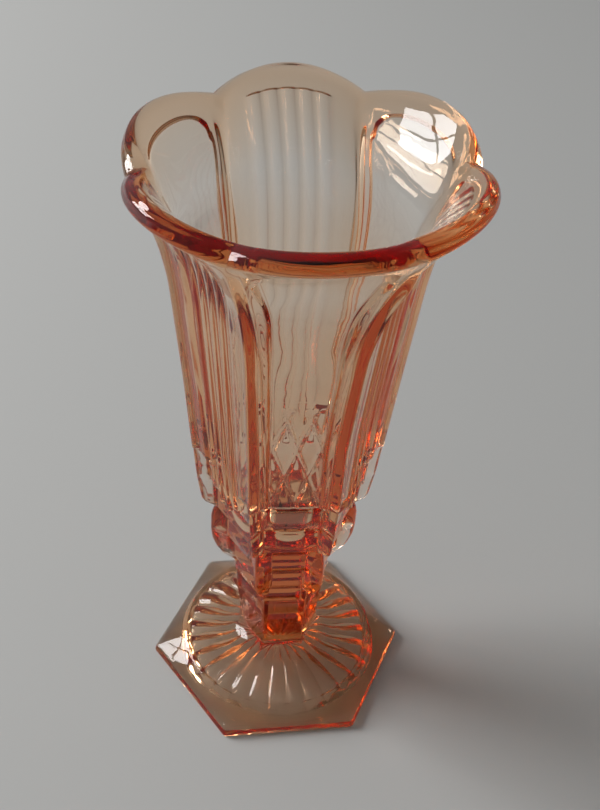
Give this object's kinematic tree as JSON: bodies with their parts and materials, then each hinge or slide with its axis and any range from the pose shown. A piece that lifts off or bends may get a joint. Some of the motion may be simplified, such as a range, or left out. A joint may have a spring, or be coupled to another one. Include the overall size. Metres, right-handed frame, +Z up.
{
  "type": "footed glass flower vase",
  "caption": "Footed pressed-glass flower vase: hexagonal tapering body with fluted and arched panels, a flared lobed rim, a stepped stem and a rayed hexagonal foot.",
  "frame": {"origin": "centre of the underside of the foot, on the surface the vase stands on", "axes": "+Z up the vase's axis, towards the rim; +X towards one corner rib; -Y towards the middle of a plain arched panel"},
  "size_m": [0.0906, 0.0948, 0.1954],
  "materials": {
    "peach_glass": "clear peach-amber tinted glass, fire-polished, gloss"
  },
  "bodies": {
    "root": {"vase_body": "peach_glass", "stepped_stem": "peach_glass", "hexagonal_foot": "peach_glass"}
  },
  "joints": []
}
